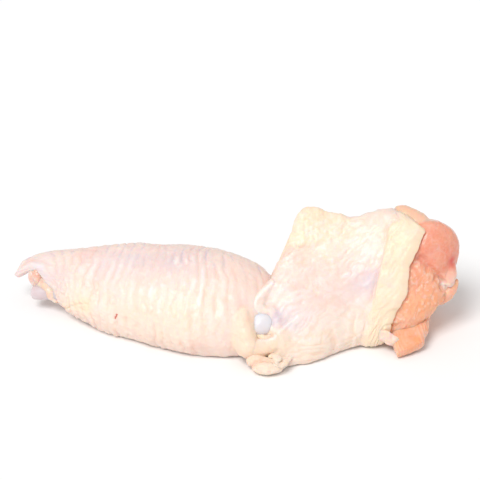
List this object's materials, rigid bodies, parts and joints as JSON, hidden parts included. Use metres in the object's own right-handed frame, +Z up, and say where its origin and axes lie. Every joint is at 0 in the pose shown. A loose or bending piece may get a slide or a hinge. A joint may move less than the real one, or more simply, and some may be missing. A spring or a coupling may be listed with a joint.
{
  "type": "raw chicken wing",
  "caption": "Raw chicken wing without its tip: pale skinned flat and drumette joined at the elbow, with red meat and bone ends at both cuts, lying on a table.",
  "frame": {"origin": "on the table, below the middle of the wing's box", "axes": "+Z up from the table; +X from the cut wing tip to the shoulder cut; -Y the side with the skin panel and the elbow's bone end"},
  "size_m": [0.164, 0.0603, 0.0459],
  "materials": {
    "skin": "moist raw poultry skin, cream with pink and lilac flush",
    "drumette_meat": "moist raw meat, orange-red with pale membrane",
    "flat_meat": "moist raw meat, pink",
    "bone": "moist cartilage, bluish white"
  },
  "bodies": {
    "root": {"skin": "skin", "drumette_meat": "drumette_meat", "flat_meat": "flat_meat", "humerus": "bone", "ulna": "bone", "radius": "bone"}
  },
  "joints": []
}
